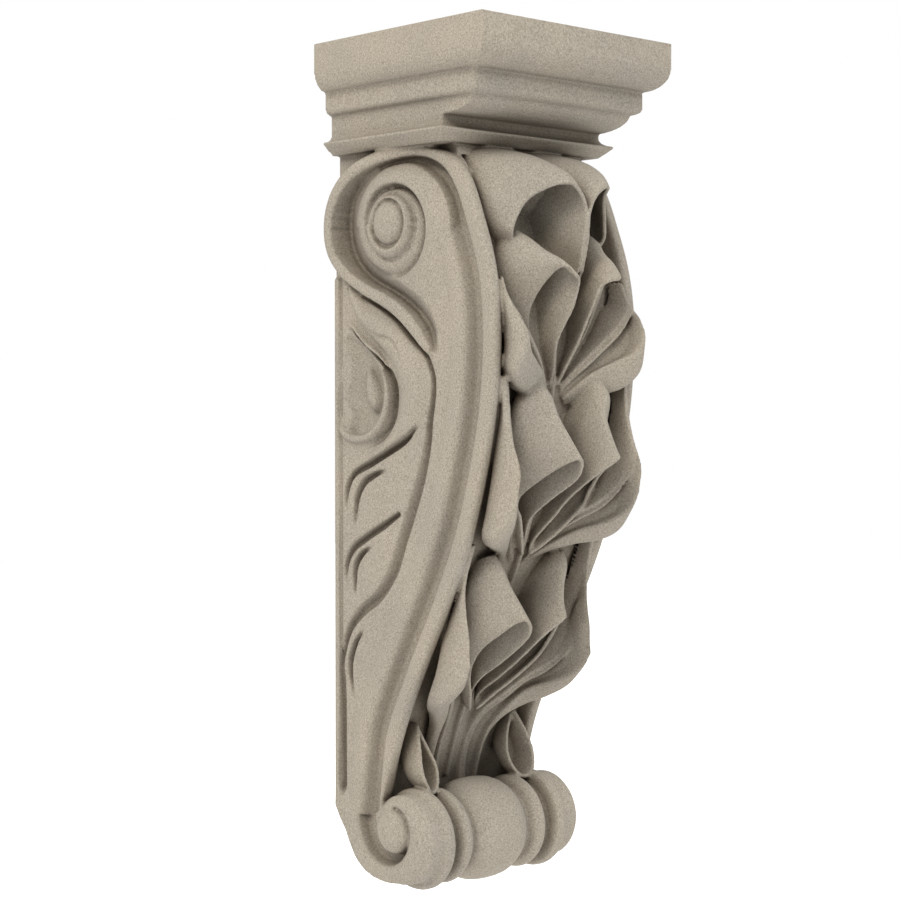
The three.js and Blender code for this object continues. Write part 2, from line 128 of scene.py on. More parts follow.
# The body of the bracket is the block left between the two scroll frames: the neck under the cap,
# and the panel that the leaves stand on, cut back behind the frames' front edge. It is one stone
# with the cap above it.
def curve(points, count, closed=False):
    """Points spread along a smooth curve through the given ones, which may carry more values."""
    given = np.asarray(points, dtype=float)
    spans = len(given) if closed else len(given) - 1
    if closed:
        given = np.concatenate([given[-1:], given, given[:2]])
    else:
        given = np.concatenate([2 * given[:1] - given[1:2], given, 2 * given[-1:] - given[-2:-1]])
    place_size = min(3, given.shape[1])
    gaps = np.linalg.norm(np.diff(given[:, :place_size], axis=0), axis=1)
    knots = np.concatenate([[0], np.cumsum(np.sqrt(np.maximum(gaps, 1e-6)))])
    steps = np.arange(count) / count if closed else np.linspace(0, 1, count)
    whole = np.minimum((steps * spans).astype(int), spans - 1)
    share = steps * spans - whole
    t = [knots[whole + k][:, None] for k in range(4)]
    p = [given[whole + k] for k in range(4)]
    u = t[1] + (t[2] - t[1]) * share[:, None]
    a = [((t[k + 1] - u) * p[k] + (u - t[k]) * p[k + 1]) / (t[k + 1] - t[k]) for k in range(3)]
    b = [((t[k + 2] - u) * a[k] + (u - t[k]) * a[k + 1]) / (t[k + 2] - t[k]) for k in range(2)]
    return ((t[2] - u) * b[0] + (u - t[1]) * b[1]) / (t[2] - t[1])


def solid(name, vertices, faces):
    """A closed solid of the stone, in metres, with its faces turned outwards."""
    mesh = bpy.data.meshes.new(name)
    mesh.from_pydata([tuple(v) for v in vertices], [], faces)
    piece = bpy.data.objects.new(name, mesh)
    bpy.context.collection.objects.link(piece)
    select_only(piece)
    bpy.ops.object.mode_set(mode="EDIT")
    bpy.ops.mesh.select_all(action="SELECT")
    bpy.ops.mesh.remove_doubles(threshold=1e-6)
    bpy.ops.mesh.normals_make_consistent(inside=False)
    bpy.ops.object.mode_set(mode="OBJECT")
    return piece


def both_sides(name, vertices, faces):
    """The solid on the right of the middle plane and its mirror image on the left."""
    mirrored = np.asarray(vertices) * (-1, 1, 1)
    stone_parts.append(solid(name + "_right", vertices, faces))
    stone_parts.append(solid(name + "_left", mirrored, faces))


def loft(rings):
    """Vertices and faces of a solid through rings of equal count, closed at both ends."""
    rings = np.asarray(rings)
    levels, count = rings.shape[:2]
    faces = []
    for level in range(levels - 1):
        low = level * count
        high = low + count
        for i in range(count):
            j = (i + 1) % count
            faces.append((low + i, low + j, high + j, high + i))
    faces.append(tuple(range(count))[::-1])
    faces.append(tuple(range((levels - 1) * count, levels * count)))
    return rings.reshape(-1, 3), faces


def slab(outline, half_width, other_side=None):
    """A side outline of (depth, drop) taken straight across the stone."""
    far = -half_width if other_side is None else other_side
    return loft([place([(across, depth, drop) for depth, drop in outline])
                 for across in (half_width, far)])


frame_edge = [(48, 80), (75, 78.5), (100, 80.5), (119, 88), (133, 103), (146, 132), (156, 161),
              (161, 190), (161.5, 226), (157, 267), (149.5, 300), (134.5, 348), (113.5, 394),
              (88.5, 440), (65, 488), (51, 530), (44, 556)]
edge_line = curve(frame_edge, 161)
edge_numbers = np.arange(len(edge_line))
edge_along = np.gradient(edge_line, axis=0)
edge_along /= np.linalg.norm(edge_along, axis=1)[:, None]
edge_back = np.stack([-edge_along[:, 1], edge_along[:, 0]], axis=1)

panel_half_width = 64
panel_recess = 14.0
panel_top = 78
recessed_edge = [tuple(point) for point in edge_line + edge_back * panel_recess
                 if point[1] >= panel_top]
panel_outline = [(0, 79)] + recessed_edge + [(66, 578), (40, 584), (0, 545)]
stone_parts.append(solid("body_panel", *slab(panel_outline, panel_half_width)))
bridge_half_width = 62
bridge_outline = [(0, 70), (112, 70), (118, 86), (0, 86)]
stone_parts.append(solid("bridge", *slab(bridge_outline, bridge_half_width)))
neck_half_width = 70
neck_outline = [(0, 70), (112, 70), (112, 79), (70, 79), (40, 86), (20, 95), (6, 110), (0, 122)]
stone_parts.append(solid("neck", *slab(neck_outline, neck_half_width)))


# Each scroll frame is a moulding run along the side's front edge: a narrow face to the front, a
# rounded band, a sunk groove, and the broad swelling band that the leaf relief is set against.
# It is half as wide where it passes over the volute, and its groove fades in there.
frame_foot = 60.5
# Each point of the section is its inset from the edge and its distance from the middle plane.
frame_section = [(18, frame_foot), (5, 60.8), (2, 61.6), (0.6, 62.8), (0, 64.6), (0.2, 67.6),
                 (1.2, 69.9), (3, 71), (9.6, 71.2), (11, 70.6), (11.8, 69), (12.2, 66), (13.4, 63.6),
                 (16.5, 62.8), (20, 63.2), (22.2, 65), (23.8, 67.8), (25.2, 71), (26.6, 72.8),
                 (28.5, 74), (32, 74.7), (37, 74.4), (41, 73.2), (43, frame_foot)]
groove_start = 11.5
groove_end = 24.5
groove_brim = 71.5
start_sunk = 5
taper_drop = 496
taper_length = 60
front_band = 12
front_band_lost = 11.5
groove_shift_back = 2.5


def ease(share):
    return share ** 2 * (3 - 2 * share)


def frame_narrowing(number):
    """The share of its full width that the moulding has at a point of the edge line."""
    return 0.5 + 0.5 * ease(np.clip((number - 6) / 34, 0, 1))


def groove_opening(number):
    return np.clip((number - 1) / 16, 0, 1)


def frame_rings():
    """The moulding swept along the edge, with its start sunk in the stone over the volute.

    At the foot the front band tapers to a point, which draws the groove towards the edge."""
    rings = []
    for number, (point, back) in enumerate(zip(edge_line, edge_back)):
        sunk = start_sunk * np.clip(1 - number / 14, 0, 1)
        taper = np.clip((point[1] - taper_drop) / taper_length, 0, 1)
        ring = []
        for inset, across in frame_section:
            if groove_start < inset < groove_end:
                across = groove_brim - (groove_brim - across) * groove_opening(number)
            past_band = np.clip((inset - front_band) / 14, 0, 1)
            shift = front_band_lost * min(inset / front_band, 1) - groove_shift_back * past_band
            depth, drop = point + back * (inset * frame_narrowing(number) - shift * taper)
            ring.append((max(across - sunk, frame_foot), depth, drop))
        rings.append(place(ring))
    return rings


both_sides("frame", *loft(frame_rings()))


# The side face is carved in low relief between the frame and the wall: the volute winds up out of
# the broad band, its rim sweeps round behind and down over the side as a leaf, and the leaf's
# stem throws tendrils back towards the wall. It is worked as a relief whose height is measured
# from the middle plane.
relief_step = 1.0
relief_depths = np.arange(-1, 173, relief_step)
relief_drops = np.arange(76, 605, relief_step)
drop_grid, depth_grid = np.meshgrid(relief_drops, relief_depths, indexing="ij")
side_level = 73.0
relief = np.full(drop_grid.shape, side_level)


def along_path(points, samples=90):
    """How far the points of the relief near a path lie from it, and the path's values there."""
    reach = 30
    line = curve(points, samples)
    shown = line[:, :2]
    low = shown.min(0) - reach
    high = shown.max(0) + reach
    near = ((depth_grid > low[0]) & (depth_grid < high[0])
            & (drop_grid > low[1]) & (drop_grid < high[1]))
    spots = np.stack([depth_grid[near], drop_grid[near]], axis=1)
    start = shown[:-1]
    span = shown[1:] - start
    length = (span ** 2).sum(1)
    best = np.full(len(spots), np.inf)
    values = np.zeros((len(spots), line.shape[1] - 2))
    side = np.zeros(len(spots))
    for k in range(len(start)):
        offset = spots - start[k]
        share = np.clip(offset @ span[k] / length[k], 0, 1)
        apart = offset - share[:, None] * span[k]
        distance = (apart ** 2).sum(1)
        closer = distance < best
        best[closer] = distance[closer]
        mixed = line[k, 2:] + share[closer, None] * (line[k + 1, 2:] - line[k, 2:])
        values[closer] = mixed
        turn = span[k, 0] * offset[:, 1] - span[k, 1] * offset[:, 0]
        side[closer] = np.sign(turn[closer])
    return near, np.sqrt(best), values, side


def raise_ridge(points, sharp=2.0):
    """A rounded ridge; each point is (depth, drop, half width, level, rise)."""
    near, distance, values, _ = along_path(points)
    half, level, rise = values.T
    share = np.clip(distance / half, 0, 1)
    height = level - rise * share ** sharp
    old = relief[near]
    relief[near] = np.where(distance < half, np.maximum(old, height), old)


def cut_groove(points, sharp=2.0, slope=1.0):
    """A tapered groove; each point is (depth, drop, half width, level of its floor).

    Its wall on the inner side of a bend may be drawn out into a slope."""
    near, distance, values, side = along_path(points)
    half, floor = values.T
    half = np.where(side < 0, half * slope, half)
    share = distance / np.maximum(half, 0.1)
    nearly_straight = 1.1
    power = np.where((side < 0) & (slope > 1), nearly_straight, sharp)
    old = relief[near]
    deep = floor + (np.maximum(old, floor) - floor) * np.clip(share, 0, 1) ** power
    relief[near] = np.where(share < 1, np.minimum(old, deep), old)


# Over the volute the moulding is part of the relief, so that it runs into the volute's arch.
outer_arris = 4
relief_section = np.array(frame_section[outer_arris:-1])
near, inset, values, _ = along_path(np.column_stack([edge_line, edge_numbers]), len(edge_line))
number = values[:, 0]
inset = inset / frame_narrowing(number)
moulding = np.interp(inset, relief_section[:, 0], relief_section[:, 1])
in_groove = (inset > groove_start) & (inset < groove_end)
opened = groove_brim - (groove_brim - moulding) * groove_opening(number)
moulding = np.where(in_groove, opened, moulding)
over_volute = (number < 60) & (number > 0) & (inset < 40)
relief[near] = np.where(over_volute, moulding, relief[near])

volute_middle = (67.0, 131.0)
eye_radius = 16.0
spiral_turns = np.radians([-90, 0, 90, 180, 270, 360, 450, 540, 630, 720])
spiral_radii = np.array([18.0, 20.0, 22.0, 24.5, 25.3, 26.0, 33.0, 36.5, 42.0, 45.0])
whorl_turns = np.radians([-90, 0, 90, 180, 270, 315, 360, 405, 450, 500, 560, 630])
whorl_levels = np.array([82.0, 79.5, 76.5, 77.0, 80.5, 82.5, 82.5, 81.0, 78.5, 76.0, 73.8, 73.0])
whorl_falls = np.array([4.0, 7.5, 7.5, 6.0, 7.0, 9.0, 9.5, 8.0, 5.5, 3.0, 0.8, 0.0])


def carve_volute():
    """The eye and the whorl that winds out of it, falling outwards like a snail's shell."""
    away = depth_grid - volute_middle[0]
    below = drop_grid - volute_middle[1]
    radius = np.hypot(away, below)
    turn = np.mod(np.arctan2(away, -below), 2 * math.pi)
    turn = np.where(turn > 1.5 * math.pi, turn - 2 * math.pi, turn)
    crease_width = 2.4
    crease_depth = 3.6
    inner = np.interp(turn, spiral_turns, spiral_radii)
    outer = np.interp(turn + 2 * math.pi, spiral_turns, spiral_radii)
    arch_width = np.interp(turn, [-math.pi / 2, 0, 0.8, 1.57, 3.14], [19, 15, 17, 22, 22])
    for start, end, wound in [(outer, outer + arch_width, turn + 2 * math.pi),
                              (inner, outer, turn)]:
        level = np.interp(wound, whorl_turns, whorl_levels)
        fall = np.interp(wound, whorl_turns, whorl_falls)
        share = np.clip((radius - start) / (end - start), 0, 1)
        crease = np.clip(1 - (radius - start) / crease_width, 0, 1) ** 2
        height = level - fall * share ** 2 - crease_depth * crease
        whorl = (radius >= start) & (radius < end)
        if end is outer:
            relief[whorl] = height[whorl]
        else:
            relief[whorl] = np.maximum(relief, height)[whorl]
    hub = radius < inner
    share = np.clip((radius - eye_radius) / np.maximum(inner - eye_radius, 1), 0, 1)
    band = 84.8 - 6.0 * share ** 2 - 7.8 * (1 - share) ** 5
    relief[hub] = band[hub]
    eye = radius < eye_radius + 0.2
    from_middle = radius[eye] / (eye_radius + 0.3)
    relief[eye] = 76.6 + 11.6 * np.sqrt(np.clip(1 - from_middle ** 2, 0, 1))


carve_volute()

channel = [(60, 88, 2, 76), (46, 91, 4, 74), (30, 98, 6, 71.5), (15, 111, 8, 69),
           (11, 130, 8.5, 67), (16, 150, 8.5, 66), (31, 165, 8, 65.5), (52, 175, 7.5, 65.5),
           (70, 184, 7.5, 65.5), (87, 194, 7, 66), (99, 207, 6, 67), (105, 219, 3, 71)]
rim = [(100, 84, 3, 70, 1), (86, 81, 4, 71.5, 1.5), (68, 81.5, 4.5, 75, 2),
       (45, 85.5, 5, 80.5, 2.5), (24, 95, 5, 84.5, 2.5), (10, 110, 5, 86, 2.5), (4.5, 130, 4.5, 86.5, 2),
       (8, 149, 4.5, 86, 2.5), (18, 163, 4.5, 83, 2.5), (35, 174.5, 4.5, 80, 2.5),
       (54, 183, 5, 78.5, 2.5), (71, 192, 5.5, 78, 2.5), (86, 204, 5.5, 77.5, 2.5),
       (97, 216, 4.5, 76.5, 2.5), (101, 220, 3, 75.5, 2)]
leaf_body = [(14, 172, 6, 75.5, 4), (30, 192, 9, 76.5, 5), (52, 206, 12, 77.5, 6),
             (74, 222, 15, 78, 6.5), (84, 245, 17, 78, 6.5), (80, 268, 15, 77.5, 6),
             (60, 287, 9, 76.5, 5), (38, 298, 6.5, 75.5, 4), (20, 307, 5, 75, 3.5),
             (12, 318, 3.5, 74.5, 2.5), (11, 328, 2, 73.8, 1.5)]
leaf_vein = [(15, 173, 1.2, 73), (18, 183, 1.3, 73.5), (25, 195, 1.4, 74), (35, 203, 1.4, 74.5),
             (48, 208.5, 1.4, 75), (60, 210.5, 1.4, 75.5), (68, 214.5, 1.4, 76), (76, 227, 0.8, 77)]
under_rim = [(30, 180, 1.8, 70), (50, 189, 2.4, 68.5), (68, 199, 2.8, 68), (83, 211, 2.8, 68),
             (97, 224, 2.4, 68.5), (104, 240, 2.6, 68), (103, 256, 2.8, 68), (99, 274, 3, 67.5)]
curl_hollow = [(14, 212, 5, 70), (26, 224, 11, 67), (33, 240, 19, 65.5), (32, 256, 23, 65),
               (28, 268, 15, 66.5), (20, 276, 6, 70)]
curl_rim = [(17, 200, 2.5, 76, 2), (32, 213, 3, 77.5, 2.5), (48, 223, 3, 78, 2.5),
            (59, 238, 3, 78.5, 2.5), (60, 253, 3, 78.5, 2.5), (54, 268, 3, 78, 2.5),
            (42, 278, 3, 77.5, 2.5), (27, 282, 3, 77, 2.5), (12, 279, 3, 76.5, 2),
            (4, 268, 2.8, 76, 2), (3, 250, 2.5, 75.5, 2), (6, 232, 2, 74.5, 1.5)]
curl_bud = [(34, 236, 4, 72, 4.5), (38, 247, 8, 74.5, 6.5), (41, 255, 8, 74.5, 6.5)]
curl_outside = [(20, 204, 1.4, 71.5), (34, 216, 2.2, 69.5), (51, 227, 2.6, 68.5),
                (64, 243, 2.8, 68), (65, 257, 2.8, 68), (60, 272, 2.8, 68.5), (48, 282, 2.4, 70),
                (36, 287, 1.2, 72)]
stem_groove = [(101, 262, 3, 67.7), (98, 284, 4, 66.7), (91, 308, 5, 66.2), (80, 334, 5.5, 65.7),
               (71, 354, 5.5, 65.7), (62, 374, 5.5, 65.7), (46, 393, 5, 66.2), (28, 405, 4.5, 66.7),
               (15, 418, 3.5, 67.2), (7, 438, 2.6, 68.2), (5, 462, 1, 71.5)]
tendril_grooves = [
    [(89, 272, 1, 71.5), (78, 281, 2.5, 67.7), (62, 289, 3, 67.2), (40, 298.5, 3, 67.2),
     (20, 307, 3, 67.2), (12.5, 316, 3, 67.2), (10, 332, 1.2, 71.5)],
    [(55, 303, 1, 71.5), (42, 307, 2.5, 67.2), (30, 313, 3.2, 66.7), (23, 323, 3.2, 66.7),
     (20, 341, 1.8, 70.5)],
    [(68, 334, 2, 67.2), (52, 342.5, 3, 66.7), (32, 352.5, 3.2, 66.7), (17, 362, 3, 67.2),
     (11, 373, 2.4, 68.2), (10, 386, 1, 71.5)],
    [(39, 358, 1, 71.5), (28, 364, 2.6, 67.2), (21, 373, 3, 66.7), (20, 391, 1.6, 70.5)],
    [(30, 418, 1, 71.5), (21, 428, 2.6, 67.2), (15, 443, 3, 66.7), (18, 466, 1.2, 71)],
]
back_groove = [(5.2, 166, 1.3, 71.5), (5.2, 330, 1.3, 71.5), (6, 440, 1.6, 71), (7, 460, 3, 69),
               (7, 500, 3.4, 68), (7, 534, 3.2, 68), (7, 540, 1, 70)]

cut_groove(channel, 3.0, 1.6)
raise_ridge(rim, 3)
raise_ridge(leaf_body, 2)
cut_groove(under_rim)
cut_groove(leaf_vein)
cut_groove(curl_hollow, 2.0)
raise_ridge(curl_bud, 2)
raise_ridge(curl_rim, 2)
cut_groove(curl_outside)
for groove in tendril_grooves:
    cut_groove(groove, 1.6)
cut_groove(stem_groove, 1.6)
border_width = 4.2
border_top = 166
border_level = 74.6
border = (depth_grid < border_width) & (drop_grid > border_top)
relief[border] = np.maximum(relief, border_level)[border]
cut_groove(back_groove, 2.5)


# At the foot the broad band winds under the end of the roll and comes up in front of it as its last
# ring. The groove goes in beside it and dies out round a boss; the front band ends in a point.
foot_middle = (65.5, 557.0)
ring_middle = (71.0, 563.0)
ring_radius = 31.2
crease_turns = np.radians([0, 34, 81, 117, 146, 171, 190, 206, 218, 233, 250, 266, 288, 306, 330])
crease_radii = np.array([16, 16.6, 16.4, 16.6, 18.7, 21.8, 25.4, 28.4, 31.4, 34.3, 36.9, 39, 42,
                         48, 70.0])
band_turns = np.radians([0, 117, 146, 171, 217, 248, 270, 287, 298, 323])
band_radii = np.array([15.6, 15.6, 15.8, 16, 17, 20, 21.5, 23.6, 25.5, 34])
floor_turns = np.radians([0, 20, 90, 130, 160, 190, 300, 360])
floor_levels = np.array([75, 72.5, 71, 70, 67, 65.5, 65, 65.0])
ring_turns = np.radians([0, 100, 150, 190, 230, 270, 290, 306, 325, 360])
ring_levels = np.array([77, 77.2, 76.6, 75.6, 75.2, 75.0, 74.8, 74.8, 76, 77.0])


def carve_foot():
    """The scroll's end, with turns measured from straight up and on towards the front."""
    away = depth_grid - foot_middle[0]
    below = drop_grid - foot_middle[1]
    radius = np.hypot(away, below)
    turn = np.mod(np.arctan2(away, -below), 2 * math.pi)
    crease = np.interp(turn, crease_turns, crease_radii)
    inside = np.interp(turn, band_turns, band_radii)
    level = np.interp(turn, ring_turns, ring_levels)
    floor_level = np.interp(turn, floor_turns, floor_levels)
    from_ring = np.hypot(depth_grid - ring_middle[0], drop_grid - ring_middle[1])
    in_ring = from_ring < ring_radius + 1
    edge = np.clip(1 - (ring_radius - from_ring) / 8, 0, 1.2)
    winding_in = turn > math.radians(290)
    towards_wall = (turn > math.radians(180)) & ~winding_in
    outside = (radius >= crease) & (towards_wall | in_ring)
    outside |= winding_in & in_ring & (radius > 15)
    height = level - 2.4 * np.clip(1 - (radius - crease) / 4, 0, 1) ** 2
    height = np.where(winding_in, level, height)
    rounding = np.interp(turn, np.radians([0, 140, 196, 285, 310, 360]), [6, 6, 0, 0, 6, 6])
    height = height - np.where(in_ring, rounding * edge ** 2, 0)
    blend_top = 528
    share = ease(np.where(in_ring, 1.0, np.clip((drop_grid - blend_top) / 26, 0, 1)))
    low = (drop_grid > blend_top) & outside
    relief[low] = (relief + (height - relief) * share)[low]
    sunk = (radius > inside) & (radius < crease) & (drop_grid > 540) & ~winding_in
    wall = np.minimum(radius - inside, crease - radius)
    sides = np.clip(1 - wall / 2.2, 0, 1) ** 2
    relief[sunk] = (floor_level + (72 - floor_level) * sides)[sunk]
    boss = radius < band_radii[0]
    relief[boss] = 74 + 9 * np.sqrt(np.clip(1 - (radius[boss] / 16) ** 2, 0, 1))


carve_foot()


def relief_slab():
    """The relief as a closed slab on the right side, from its carved face back into the panel."""
    slab_back = 58.0
    rows, columns = relief.shape
    face = place(np.stack([relief, depth_grid, drop_grid], axis=-1)).reshape(-1, 3)
    back = place(np.stack([np.full(relief.shape, slab_back), depth_grid, drop_grid], axis=-1))
    back = back.reshape(-1, 3)
    numbers = np.arange(rows * columns).reshape(rows, columns)
    quads = np.stack([numbers[:-1, :-1], numbers[:-1, 1:], numbers[1:, 1:], numbers[1:, :-1]],
                     axis=-1).reshape(-1, 4)
    rim_path = np.concatenate([numbers[0, :], numbers[1:, -1], numbers[-1, -2::-1],
                               numbers[-2:0:-1, 0]])
    total = rows * columns
    faces = quads.tolist() + (quads[:, ::-1] + total).tolist()
    for i, j in zip(rim_path, np.roll(rim_path, -1)):
        faces.append((j, i, i + total, j + total))
    return np.concatenate([face, back]), faces


def mirrored_copy(piece, name):
    select_only(piece)
    bpy.ops.object.duplicate()
    copy = bpy.context.object
    copy.name = name
    for vertex in copy.data.vertices:
        vertex.co.x *= -1
    copy.data.flip_normals()
    return copy


def keep_within(piece, limit):
    """Cuts away what lies outside the limit, a closed solid that is used up."""
    finish_modifier(piece, "BOOLEAN", operation="INTERSECT", object=limit, solver="MANIFOLD")
    bpy.data.objects.remove(limit, do_unlink=True)


top_edge = curve([(75, 79), (46, 80), (21, 89.5), (6.5, 105), (-2, 124)], 24)
foot_edge = [(-2, 549), (0, 549), (5, 557), (10, 563), (14.5, 569.5), (17, 574), (21, 580),
             (27, 586), (34, 590.5), (43, 593.5), (55, 595), (68, 594.5)]


# The side slab covers the swept frame over the volute and leaves it clear further down.
seam_inset = 0.3 + 28 * ease(np.clip((edge_numbers - 30) / 28, 0, 1))
seam = (edge_line + edge_back * seam_inset[:, None])[12:]
side_outline = ([tuple(point) for point in top_edge[::-1]] + [tuple(point) for point in seam]
                + [(40, 556), (68, 556)] + foot_edge[::-1])
ring_outline = [(ring_middle[0] + ring_radius * math.sin(turn),
                 ring_middle[1] - ring_radius * math.cos(turn))
                for turn in np.linspace(0, 2 * math.pi, 96, endpoint=False)]
side_slab = solid("side_slab", *relief_slab())
end_ring = solid("end_ring", *relief_slab())
beyond_relief = 95
keep_within(side_slab, solid("side_limit", *slab(side_outline, beyond_relief, 50)))
keep_within(end_ring, solid("ring_limit", *slab(ring_outline, beyond_relief, 61.5)))
for piece in (side_slab, end_ring):
    stone_parts.append(piece)
    stone_parts.append(mirrored_copy(piece, piece.name + "_left"))


# The roll at the foot is turned in one with the stone: a round middle, then a slender ring and a
# broad flange on each side, with a deep gap between them.
roll_depth = 69.0
roll_drop = 564.7
roll_profile = [(0, 36.8), (6, 36.6), (12, 35.8), (17, 34), (21, 31.6), (24.5, 28.6), (27, 26.4),
                (29, 28), (31, 31), (34, 33.4), (37, 34), (39.5, 33), (41.3, 30.4), (42.3, 27),
                (43.6, 25), (48.2, 25), (49.4, 26.6), (50.1, 31.5), (51, 34.4), (53, 35.7),
                (56.8, 35.8), (59.5, 34.8), (61.2, 32.6), (62.2, 30)]
roll_end = roll_profile[-1][0]
profile = ([(-roll_end, 0)] + [(-across, radius) for across, radius in roll_profile[::-1]]
           + roll_profile[1:] + [(roll_end, 0)])
bpy.ops.object.select_all(action="DESELECT")
roll_mesh = bpy.data.meshes.new("roll")
roll_mesh.from_pydata(
    [tuple(place((across, roll_depth, roll_drop - radius))) for across, radius in profile],
    [(i, i + 1) for i in range(len(profile) - 1)], [])
roll = bpy.data.objects.new("roll", roll_mesh)
bpy.context.collection.objects.link(roll)
select_only(roll)
bpy.ops.object.mode_set(mode="EDIT")
bpy.ops.mesh.select_all(action="SELECT")
bpy.ops.mesh.spin(steps=96, angle=2 * math.pi, axis=(1, 0, 0),
                  center=tuple(place((0, roll_depth, roll_drop))))
bpy.ops.mesh.select_all(action="SELECT")
bpy.ops.mesh.remove_doubles(threshold=1e-6)
bpy.ops.mesh.normals_make_consistent(inside=False)
bpy.ops.object.mode_set(mode="OBJECT")
stone_parts.append(roll)


# The acanthus down the front has three tiers under a hood. In each tier an inner lobe flares to an
# open mouth on each side of the stem, an outer lobe hangs over the frame like a drop, and a
# doubled ribbon runs from the stem under the mouth and up into the drop's rim.
hood_levels = [
    [(30, 118, 79), (38, 115, 79), (47, 111, 79.5), (53, 106, 80), (56, 100, 81), (52, 94, 82),
     (40, 90, 83), (22, 90, 83), (8, 96, 82), (2, 104, 80.5), (1, 112, 79.5), (14, 117, 79)],
    [(26, 146, 86), (36, 141, 86), (47, 133, 88), (55, 125, 93), (58, 118, 100), (55, 110, 108),
     (40, 100, 114), (20, 100, 116), (4, 112, 112), (0, 128, 104), (0, 138, 94), (12, 144, 87)],
    [(22, 164, 93), (32, 158, 93), (43, 149, 97), (52, 139, 103), (57, 133, 113), (55, 126, 126),
     (40, 115, 136), (17, 115, 140), (3, 130, 138), (0.5, 148, 122), (0.5, 158, 106), (9, 162, 96)],
    [(18, 176, 100), (28, 171, 101), (38, 160, 106), (46, 150, 113), (52, 145, 124),
     (52, 140, 138), (38, 130, 152), (15, 130, 160), (2, 150, 158), (0, 165, 138), (0, 172, 118),
     (7, 174, 104)],
    [(16.6, 183, 108), (24, 179, 108.5), (31, 169, 112.5), (38, 162, 118), (44, 157, 130),
     (46, 154, 142), (34, 146, 158), (14, 150, 172), (1.5, 171, 170), (0.5, 179, 146),
     (0.5, 182, 125), (8, 183, 113)],
]
tier_levels = [
    [
        [(37, 148, 138), (41, 146, 139), (44, 142, 141), (45, 138, 144), (43, 135, 146),
         (39, 133, 147), (34, 133, 147), (31, 135, 146), (30, 138, 144), (30, 142, 141),
         (31, 145, 139), (34, 147, 138)],
        [(32, 157, 144), (41, 153, 144), (48, 147, 150), (51, 140, 158), (47, 132, 166),
         (38, 127, 172), (28, 125, 176), (20, 128, 176), (18, 134, 170), (19, 142, 160),
         (22, 150, 152), (26, 155, 147)],
        [(28, 167, 152), (38, 161, 152), (46, 154, 160), (50, 146, 170), (48, 138, 184),
         (36, 134, 200), (22, 132, 212), (12, 130, 218), (10, 134, 208), (13, 142, 190),
         (14, 152, 172), (18, 161, 158)],
        [(24, 181, 160), (33, 172, 160), (40, 160, 170), (44, 151, 182), (42, 146, 196),
         (33, 144, 212), (18, 142, 230), (6, 140, 243), (5, 143, 232), (11, 148, 212),
         (11, 160, 186), (14, 172, 166)],
        [(21.6, 192, 170), (25.5, 182, 165), (28.5, 168, 175), (31, 158, 190), (30, 154, 202),
         (24, 152, 214), (13, 149, 230), (3, 147, 245), (3.5, 153, 235), (9.3, 162, 214),
         (8.3, 176, 191), (11, 184.5, 174)],
    ],
    [
        [(31, 165, 242), (35, 163, 243), (38, 160, 245), (40, 156, 247), (39, 151, 249),
         (36, 147, 250), (31, 145, 250), (26, 146, 249), (23, 149, 247), (22, 154, 245),
         (24, 160, 243), (27, 164, 242)],
        [(28, 172, 250), (37, 167, 251), (43, 161, 256), (47, 152, 264), (45, 142, 274),
         (37, 133, 282), (27, 127, 285), (18, 126, 284), (14, 132, 278), (14, 142, 270),
         (17, 155, 261), (21, 166, 253)],
        [(23, 175, 264), (34, 167, 267), (42, 159, 275), (47, 151, 288), (46, 140, 302),
         (36, 131, 313), (24, 122, 322), (14, 115, 328), (11, 118, 318), (13, 128, 302),
         (13, 142, 288), (14, 162, 274)],
        [(20.5, 184, 279), (31, 172, 285), (40, 160, 294), (44, 151, 307), (42, 145, 318),
         (34, 138, 328), (19, 127, 345), (7, 118, 357), (5, 118, 347), (11, 126, 330),
         (11, 142, 312), (10, 170, 292)],
        [(19.3, 194, 293.5), (24, 180, 299), (29, 164, 309), (34, 150, 321), (32, 146, 331),
         (26, 142, 338.5), (14, 131, 354), (3, 120, 364), (3, 124, 354), (10, 138, 336),
         (7.5, 154, 323), (6.5, 180, 306.5)],
    ],
    [
        [(34, 124, 361), (38, 121, 362), (41, 117, 364), (42, 112, 366), (41, 106, 368),
         (38, 102, 369), (33, 100, 369), (29, 102, 368), (27, 106, 366), (26, 111, 364),
         (28, 117, 362), (31, 122, 361)],
        [(31, 129, 370), (38, 125, 371), (43, 119, 375), (47, 111, 382), (45, 101, 391),
         (38, 92, 398), (28, 86, 401), (19, 86, 400), (15, 91, 394), (15, 101, 386),
         (19, 113, 377), (24, 123, 372)],
        [(26, 132, 383), (35, 125, 385), (42, 117, 391), (47, 108, 401), (45, 96, 414),
         (36, 84, 426), (24, 75, 435), (14, 70, 440), (11, 73, 431), (13, 84, 416),
         (13, 99, 401), (16, 118, 389)],
        [(21, 137, 396), (31, 127, 401), (39, 118, 409), (44, 108, 421), (42, 98, 434),
         (33, 86, 447), (18, 73, 462), (7, 63, 473), (5, 64, 463), (10, 78, 447),
         (10, 97, 430), (10, 124, 406)],
        [(19, 143.3, 407), (23, 135, 409.5), (28, 124, 418), (33, 112, 428), (33, 102, 440),
         (26, 91, 453), (13, 78, 468), (3, 66, 480), (2.5, 67, 470), (8.7, 85, 454),
         (6.6, 107, 439), (7, 134, 418)],
    ],
]
curl_mouth = np.array([(48, 60, 484), (52, 65, 493), (55, 70, 504), (56.5, 73.5, 516),
                       (54.5, 76, 526), (49, 76, 533.5), (42, 74.5, 533), (36.5, 71, 526),
                       (34.5, 67, 516), (38, 62.5, 504), (43, 60, 493)])
curl_root = np.array([50, 34, 500.0])
curl_levels = [curl_root + (curl_mouth - curl_root) * (share, deep, share)
               for share, deep in [(0.3, 0.2), (0.8, 0.45), (1.0, 0.75), (1.0, 1.0)]]
leaf_thickness = 2.6


